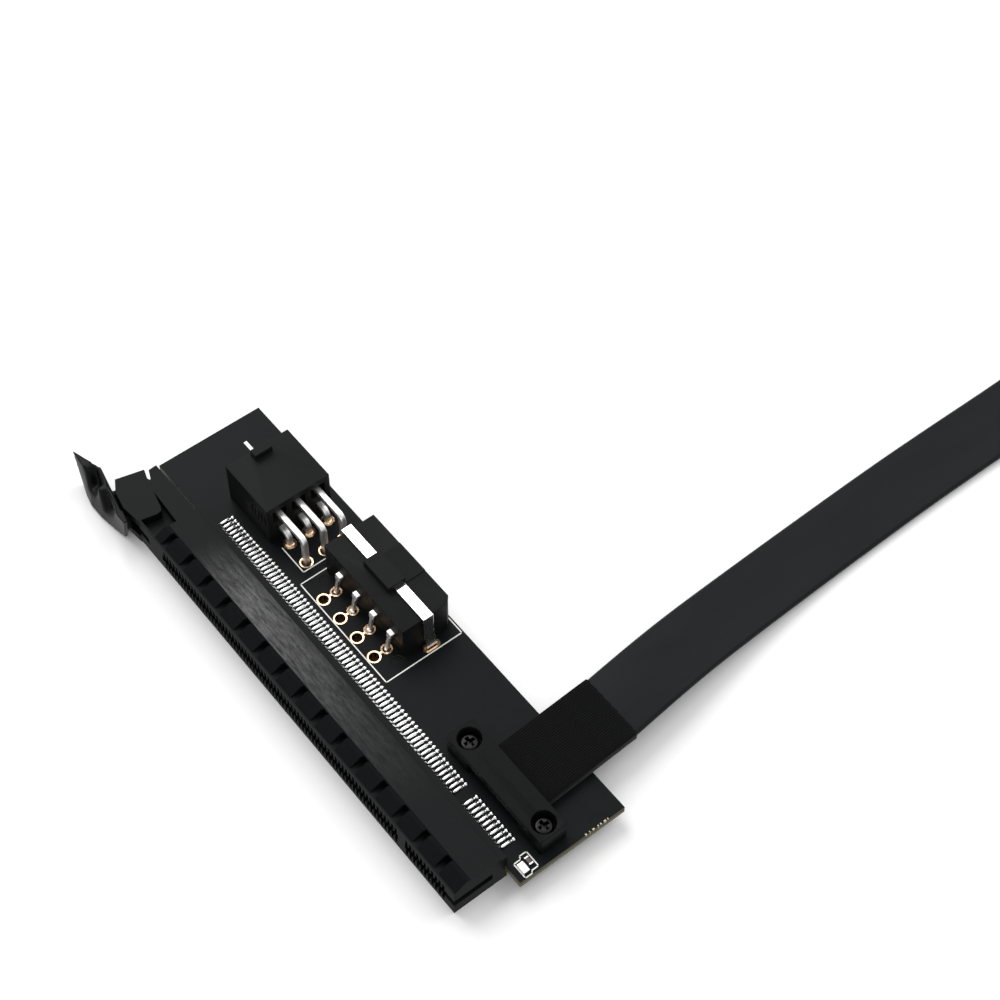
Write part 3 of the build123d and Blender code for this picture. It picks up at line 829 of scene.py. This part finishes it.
# %% Rings in their places
six_low_x, six_high_x = -19.05, -13.8
six_ys = [0.2, 4.4, 8.6]
four_xs = [-5.3, -0.22, 4.86, 9.94]
four_tail_y, four_spare_y = 0.7, -2.06
six_places = [(x, y) for x in (six_low_x, six_high_x) for y in six_ys]
four_places = [(x, y) for x in four_xs for y in (four_tail_y, four_spare_y)]
spare_places = [(x, four_spare_y) for x in four_xs]
blade_places = [(x, four_tail_y) for x in four_xs]
rings = copies(ring, "plated_rings", six_places + spare_places)
settle(rings, gold_finish, "gold_plate")
blade_ring = one_ring(hole_radius=0.8, ring_reach=1.1)
settle(copies(blade_ring, "plated_blade_rings", blade_places), gold_finish, "gold_plate")
print("rings:", len(six_places + four_places))

# %% Necks between the rings
neck_half_width = 0.22
neck_y = (four_tail_y + four_spare_y) / 2
neck = slab(
    (-neck_half_width, neck_y - 0.25, board_top),
    (neck_half_width, neck_y + 0.42, board_top + plate_thickness),
)
bevel_all(0.02)
necks = copies(neck, "plated_necks", [(x, 0) for x in four_xs])
settle(necks, gold_finish, "gold_plate")
print("necks:", len(four_xs))

# %% Dark discs of painted shade low in the holes, and the socket's locating pegs
shade_disc_thickness = 0.12
# Each disc is painted shade: a dark brown stopper low in a hole that is open through the board.
hole_shade_disc = cylinder(board_bottom + shade_disc_thickness / 2, shade_disc_thickness, 1.0, 24)
bevel_all(0.03)
hole_shade_discs = copies(hole_shade_disc, "hole_shade_discs", six_places + four_places)
settle(hole_shade_discs, painted_hole_shade, "gold_plate")

peg_depth = 1.5
peg_reach = 10.85
peg = cylinder(board_bottom + peg_depth / 2, peg_depth, 1.2, 28)
bevel_all(0.12, segments=2)
peg_middle = sum(four_xs) / 4
peg_places = [(peg_middle + side * peg_reach, four_tail_y) for side in (-1, 1)]
settle(copies(peg, "locating_pegs", peg_places), socket_finish, "socket_plastic")
print("closed ends and pegs:", len(six_places + four_places), len(peg_places))

# %% Plated slots for the strap
strap_low, strap_high = corners("hold_down_strap")
leg_half = 0.25
slot_half_width, slot_half_length, plated_reach = 0.55, 1.45, 0.32
plated_slot = open_tube(slot_half_width)
for side in (1, -1):
    edit_picked(plated_slot, lambda vertex: vertex.co.y * side > 0.001)
    bpy.ops.transform.translate(value=(0, side * (slot_half_length - slot_half_width), 0))
    leave_edit()
plate(plated_slot, 1 + plated_reach / slot_half_width, 1 + plated_reach / slot_half_length)
leg_y = (strap_low.y + strap_high.y) / 2
leg_places = [(strap_low.x + leg_half, leg_y), (strap_high.x - leg_half, leg_y)]
settle(copies(plated_slot, "plated_slots", leg_places), gold_finish, "gold_plate")
print("strap slots:", leg_places)

# %% [markdown]
# ## Solder
# The solder stands on the foot of every contact as a long capsule, draws out past the toe into
# a thin neck and ends in a round drop. Under the board each pin ends in a cone of it. A bead is
# a ball cut off level at its middle and drawn out along the contact.

# %% Solder at the contacts
contact_high = corners("slot_contacts_upper")[1]
contact_half = 0.25
first_x = contact_high.x - contact_half
contact_xs = [first_x - n for n in range(11)] + [first_x - 13 - n for n in range(71)]
foot_long, foot_wide, foot_thick = 1.85, 0.5, 0.3


def bead(length, width, height, base, up):
    """A low dome with a flat underside, which stands on a level, up or down."""
    piece = start(bpy.ops.mesh.primitive_uv_sphere_add, segments=10, ring_count=6, radius=0.5)
    edit_all()
    bpy.ops.mesh.bisect(plane_co=(0, 0, 0), plane_no=(0, 0, 1), use_fill=True, clear_inner=True)
    bpy.ops.mesh.select_all(action="SELECT")
    bpy.ops.transform.resize(value=(width, length, 2 * height * up), center_override=(0, 0, 0))
    bpy.ops.transform.translate(value=(0, 0, base))
    bpy.ops.mesh.normals_make_consistent(inside=False)
    leave_edit()
    shade_smooth_below(50)
    return piece


def joint(base, up):
    """The solder at one contact: a capsule on its foot, a thin neck and a round end."""
    cap = bead(foot_wide, foot_wide, 0.17, base + up * (foot_thick - 0.03), up)
    for vertex in cap.data.vertices:
        if abs(vertex.co.y) > 0.001:
            vertex.co.y += math.copysign((foot_long - foot_wide) / 2, vertex.co.y)
        vertex.co.y += contact_high.y - foot_long / 2
    neck = bead(1.3, 0.32, 0.12, base, up)
    end = bead(0.95, 0.7, 0.26, base, up)
    for part, past_toe in ((neck, 0.15), (end, 0.7)):
        part.data.transform(Matrix.Translation((0, contact_high.y + past_toe, 0)))
    return join([cap, neck, end], "solder_joint")


toe_places = [(x, 0) for x in contact_xs]
for name, base, up in (
    ("solder_joints_upper", board_top, 1), ("solder_joints_lower", board_bottom, -1),
):
    settle(copies(joint(base, up), name, toe_places), solder_finish, "solder")
print("joints on each side:", len(toe_places), "- toes in mm:", round(contact_high.y, 2))

# %% Cones under the pins
cone = start(
    bpy.ops.mesh.primitive_cone_add, (0, 0, board_bottom - 0.6),
    vertices=20, radius1=0.55, radius2=1.15, depth=1.1,
)
bevel_all(0.2, segments=2)
shade_smooth_below(50)
pin_places = six_places + blade_places
settle(copies(cone, "pin_solder", pin_places), solder_finish, "solder")
print("cones:", len(pin_places))

# %% [markdown]
# ## Round bends
# The six way socket's pins are square wire, bent over a round former. The section is a square
# face: it is extruded along the level run, spun about the bend's centre and extruded down.

# %% Bent pins
wire = 1.07
bend_radius = 1.15


def bent_pin(start_x, run_z, drop_x, foot_z):
    """One square pin with a round bend, in the plane Y = 0."""
    pin = start(
        bpy.ops.mesh.primitive_plane_add, (start_x, 0, run_z),
        size=wire, rotation=(0, math.pi / 2, 0),
    )
    edit_all()
    bend_x, bend_z = drop_x - bend_radius, run_z - bend_radius
    extrude(bend_x - start_x, 0, 0)
    bpy.ops.mesh.spin(
        steps=8, angle=-math.pi / 2, center=(bend_x, 0, bend_z), axis=(0, 1, 0),
    )
    for drop in (bend_z - foot_z - wire / 2, wire / 2):
        extrude(0, 0, -drop)
    bpy.ops.transform.resize(value=(0.5, 0.5, 1), center_override=(drop_x, 0, foot_z))
    bpy.ops.mesh.select_all(action="SELECT")
    bpy.ops.mesh.remove_doubles(threshold=0.001)
    bpy.ops.mesh.normals_make_consistent(inside=False)
    leave_edit()
    round_edges(pin, 0.12, sharper_than=50, smooth_below=35)
    return pin


for node, name, drop_x in (
    ("six_pin_upper_pins", "six_way_upper_pins", six_high_x),
    ("six_pin_lower_pins", "six_way_lower_pins", six_low_x),
):
    low, high = corners(node)
    pin = bent_pin(low.x, high.z - wire / 2, drop_x, low.z)
    pins = copies(pin, name, [(0, y) for y in six_ys])
    settle(pins, pin_finish, "tinned_pin", node)
    print(name, "faces:", len(pins.data.polygons))

# %% [markdown]
# ## Blade pins
# The four way socket's tails are stamped blades, which lean forward and narrow on their way
# down to the ring. Bisecting a copy of the solid gives the rows of points that are then moved.
# Solder stands round the foot of each blade.

# %% Blades of the four way socket
shoulder_z = 7.5
waist_z = 5.0
tail_end_y = 1.2
lean = 0.95
blade_length = 4.4

blades = solid_copy("four_pin_contacts", "four_way_pins")
bpy.ops.object.mode_set(mode="EDIT")
for height in (7.9, 7.3, 5.4, board_top):
    bpy.ops.mesh.select_all(action="SELECT")
    bpy.ops.mesh.bisect(plane_co=(0, 0, height), plane_no=(0, 0, 1))
leave_edit()
for vertex in blades.data.vertices:
    if vertex.co.y > tail_end_y:
        continue
    middle = min(four_xs, key=lambda x: abs(x - vertex.co.x))
    if vertex.co.z < shoulder_z:
        narrowing = 0.5 if vertex.co.z > waist_z else 0.7
        vertex.co.x = middle + (vertex.co.x - middle) * narrowing
    vertex.co.y += lean * max(0.0, (vertex.co.z - board_top) / blade_length)
round_edges(blades, 0.06, sharper_than=40, smooth_below=25)
settle(blades, pin_finish, "tinned_pin", "four_pin_contacts")
print("faces in the blades:", len(blades.data.polygons))

# %% Solder round the blades and the lower row
six_low_places = [(six_low_x, y) for y in six_ys]
for name, size, places, finish, slot_name in (
    ("blade_solder", (1.5, 1.35, 0.55), blade_places[1:3], solder_finish, "solder"),
    ("blade_solder_ends", (1.15, 1.0, 0.4), blade_places[::3], solder_finish, "solder"),
    ("gilded_solder", (1.9, 1.9, 0.3), six_low_places, gold_finish, "gold_plate"),
):
    settle(copies(bead(*size, board_top, 1), name, places), finish, slot_name)
print("fillets round the blades:", len(blade_places))

# %% [markdown]
# ## Screws
# The cable clamp is held by black pan head screws with a cross recess. The head is a cylinder
# whose rim is bevelled round, the shank is inset and extruded from its underside, and two
# wedges are cut out of the top with Boolean modifiers.

# %% One screw
head_radius = 1.75
shank_radius = 1.0
arm_length, arm_width, arm_depth = 2.9, 0.95, 0.9


def wedge(turned):
    """A cutter with one arm of the cross, narrower at the bottom."""
    length, width = (arm_width, arm_length) if turned else (arm_length, arm_width)
    high = Vector((length / 2, width / 2, arm_depth))
    cutter = slab(-high, high)
    edit_picked(cutter, lambda vertex: vertex.co.z < 0)
    bpy.ops.transform.resize(value=(0.45, 0.45, 1), center_override=(0, 0, 0))
    leave_edit()
    return cutter


def one_screw(seat, top, foot):
    """A pan head with a shank under it and a cross cut into its top."""
    screw = cylinder((top + seat) / 2, top - seat, head_radius, 32)
    on_top = {vertex.index for vertex in screw.data.vertices if vertex.co.z > top - 0.001}
    edit_picked(screw, lambda edge: on_top.issuperset(edge.vertices), "edges")
    bpy.ops.mesh.bevel(offset=0.55, segments=4, affect="EDGES")
    leave_edit()
    edit_picked(screw, lambda face: face.normal.z < -0.9, "polygons")
    bpy.ops.mesh.inset(thickness=head_radius - shank_radius)
    extrude(0, 0, foot - seat)
    bpy.ops.mesh.inset(thickness=0.2)
    bpy.ops.transform.translate(value=(0, 0, -0.1))
    leave_edit()
    for turned in (False, True):
        cutter = wedge(turned)
        cutter.data.transform(Matrix.Translation((0, 0, top)))
        select_only(screw)
        cut = screw.modifiers.new("cross", "BOOLEAN")
        cut.operation = "DIFFERENCE"
        cut.solver = "EXACT"
        cut.object = cutter
        bpy.ops.object.modifier_apply(modifier="cross")
        bpy.data.objects.remove(cutter)
    shade_smooth_below(30)
    return screw


# %% Screws at both clamps
head_height = 1.3


def screws_for(node, name):
    """Screws in place of a node's plain ones."""
    low, high = corners(node)
    middle = (low.y + high.y) / 2
    screw = one_screw(high.z - head_height, high.z, low.z + 0.1)
    places = [(low.x + head_radius, middle), (high.x - head_radius, middle)]
    return settle(copies(screw, name, places), screw_finish, "black_screw", node)


clamp_screws = screws_for("clamp_screws", "cross_head_screws")
plug_screws = screws_for("plug_clamp_screws", "plug_cross_head_screws")
print("faces in two screws:", len(clamp_screws.data.polygons))

# %% [markdown]
# ## The ribbed sleeve
# The long yarns of the tape round the cable's start stand up as 31 fine ribs. One rib is a long
# block with bevelled edges, cut across by bisecting so that it can follow the sleeve's slight
# turn. The far ends are left a little ragged, as the cut tape is.

# %% One rib
def rib(length, width, height, cuts):
    """A bar along Y from 0, standing on Z = 0, cut across at some places."""
    bar = slab((-width / 2, 0, 0), (width / 2, length, height))
    bpy.ops.object.mode_set(mode="EDIT")
    for cut in cuts:
        bpy.ops.mesh.select_all(action="SELECT")
        bpy.ops.mesh.bisect(plane_co=(0, cut, 0), plane_no=(0, 1, 0))
    leave_edit()
    round_edges(bar, width * 0.32, sharper_than=60, smooth_below=50)
    return bar


# %% Ribs side by side
rib_count = 31
outer_drop = {0: 0.3, 1: 0.08}


def ribbed_sleeve(name, node, bend_y, skew, ragged, longer):
    """Ribs side by side in place of a sleeve's plain solid."""
    low, high = corners(node)
    width = high.x - low.x - abs(skew)
    middle = high.x - width / 2 if skew < 0 else (low.x + high.x) / 2
    pitch = width / rib_count
    cuts = [bend_y - low.y, high.y - low.y - 1.0]
    pattern = rib(high.y - low.y, pitch * 1.06, high.z - low.z, cuts)
    made = []
    for n in range(rib_count):
        across = middle + (n - (rib_count - 1) / 2) * pitch
        twin = new_object(name, pattern.data.copy())
        twin.data.transform(Matrix.Translation((across, low.y, low.z)))
        lowered = outer_drop.get(min(n, rib_count - 1 - n), 0.0)
        reach = ragged * (0.35 + 0.65 * math.sin(n * 2.4) * math.sin(n * 0.9 + 1.0))
        for vertex in twin.data.vertices:
            vertex.co.x += skew * max(0.0, vertex.co.y - bend_y) / (high.y - bend_y)
            side = 1 if vertex.co.z > (low.z + high.z) / 2 else -1
            vertex.co.z -= side * lowered
            if vertex.co.y > high.y - 0.5:
                vertex.co.y += reach + longer
        made.append(twin)
    bpy.data.objects.remove(pattern)
    return settle(join(made, name), sleeve_finish, "woven_sleeve", node)


clamp_edge = corners("clamp_bar_top")[1].y
plug_bend = corners("plug_cable_sleeve")[0].y + 1
sleeve = ribbed_sleeve("ribbed_sleeve", "cable_sleeve", clamp_edge, -0.8, 0.2, 0.75)
plug_sleeve = ribbed_sleeve("plug_ribbed_sleeve", "plug_cable_sleeve", plug_bend, 0.0, 0.0, 0.0)
print("faces in the sleeve:", len(sleeve.data.polygons))

# %% [markdown]
# ## White ink
# White outlines are screen printed round the sockets and the two small parts. Each line is a
# plane, stretched to the line's length and extruded by the thickness of the ink.

# %% Printed lines
line_width = 0.22
ink_thickness = 0.02


def line(x0, y0, x1, y1, width=line_width):
    """One straight printed line between two places on the board."""
    mark = start(bpy.ops.mesh.primitive_plane_add, size=1.0)
    edit_all()
    size = (abs(x1 - x0) + width, abs(y1 - y0) + width, 1)
    bpy.ops.transform.resize(value=size, center_override=(0, 0, 0))
    extrude(0, 0, ink_thickness)
    bpy.ops.mesh.select_all(action="SELECT")
    bpy.ops.mesh.normals_make_consistent(inside=False)
    bpy.ops.transform.translate(value=((x0 + x1) / 2, (y0 + y1) / 2, board_top))
    leave_edit()
    return mark


def frame_of(x0, y0, x1, y1):
    """The four lines of a printed rectangle."""
    turns = [(x0, y0), (x1, y0), (x1, y1), (x0, y1), (x0, y0)]
    return [line(*here, *there) for here, there in zip(turns, turns[1:])]


marks = frame_of(-10.5, -3.45, 15.45, 13.2)
marks += [line(-19.0, -1.47, -12.33, -1.47), line(-12.33, -1.47, -12.33, 10.2)]
marks += frame_of(56.3, -7.65, 59.45, -6.1) + frame_of(55.75, -6.1, 59.0, -4.55)
marks += [line(-43.0, 6.92, -41.0, 6.92, 0.7)]
print("printed lines:", len(marks))
settle(join(marks, "white_print"), ink_finish, "white_ink")

# %% [markdown]
# ## Broken tabs
# The board was snapped out of a larger panel. Where the small tabs held it, the edge shows torn,
# pale glass fibre. Each scrap is a small block with worn edges, set into the edge's rim.

# %% Scraps of fibre on the edge
scrap_depth = 0.3
scrap_rise = 0.03
fibre_finish = plastic("torn_glass_fibre", 0.2, "#aca27e", "#dcd5ba", (0.6, 0.7), 0.01, 0.3)
scraps = []
for along_edge, length, drop in (
    (0.62, 0.35, 0.5), (0.66, 0.2, 0.9), (0.69, 0.45, 0.35), (0.74, 0.25, 0.8),
    (0.765, 0.3, 0.3), (0.80, 0.5, 0.6), (0.835, 0.2, 0.4),
):
    near = board_low.y + (board_high.y - board_low.y) * along_edge
    scraps.append(slab(
        (board_high.x - scrap_depth, near, board_top - drop),
        (board_high.x, near + length, board_top + scrap_rise),
    ))
    bevel_all(0.04)
print("scraps of fibre:", len(scraps))
settle(join(scraps, "torn_fibre"), fibre_finish, "solder_mask")

# %% [markdown]
# ## Gold fingers
# The plug's board has bare gold fingers on both faces, one for each contact of the slot it
# goes into. One finger is a thin plate with rounded upright edges, and it is copied along.

# %% Fingers
finger_half_width, finger_half_thickness = 0.35, 0.03
finger_ends = (5.5, 0.9)
plug_low, plug_high = corners("plug_board")
plug_middle = (plug_low.x + plug_high.x) / 2
finger_xs = [plug_middle - 16.5 + n for n in range(11)]
finger_xs += [plug_middle - 3.5 + n for n in range(21)]


def finger(level):
    """One finger on a face of the plug's board, with its upright edges rounded."""
    far, near = (plug_high.y - back for back in finger_ends)
    strip = slab(
        (-finger_half_width, far, level - finger_half_thickness),
        (finger_half_width, near, level + finger_half_thickness),
    )
    above = {vertex.index for vertex in strip.data.vertices if vertex.co.z > level}
    edit_picked(strip, lambda edge: len(above.intersection(edge.vertices)) == 1, "edges")
    bpy.ops.mesh.bevel(offset=0.2, segments=2, affect="EDGES")
    leave_edit()
    return strip


for name, level in (("fingers_top", board_top), ("fingers_bottom", board_bottom)):
    fingers = copies(finger(level), name, [(x, 0) for x in finger_xs])
    settle(fingers, gold_finish, "gold_plate")
print("fingers on a side:", len(finger_xs))

# %% [markdown]
# ## The lamp and its resistor
# Both small parts are chips with tinned ends. The lamp's body is a milky lens, the resistor's is
# dark and glazed. Bodies and ends are blocks with bevelled edges.

# %% Chips
def chip(node, name, end_length, finish, slot_name, inset):
    """A chip part: a body between two tinned ends."""
    low, high = corners(node)
    left, right = low.x + end_length, high.x - end_length
    pieces = []
    for x0, x1, back in ((left, right, inset), (low.x, left, 0.0), (right, high.x, 0.0)):
        pieces.append(slab((x0, low.y + back, low.z), (x1, high.y - back, high.z - back)))
        bevel_all(0.07, segments=2)
    body, *ends = pieces
    body.name = name
    settle(body, finish, slot_name, node)
    settle(join(ends, name + "_ends"), solder_finish, "solder")
    return body


lamp_chip = chip("status_led", "lamp_chip", 0.35, lens_finish, "led_lens", -0.02)
resistor_chip = chip("led_resistor", "resistor_chip", 0.3, ceramic_finish, "chip_ceramic", 0.03)
print("chips:", lamp_chip.name, resistor_chip.name)
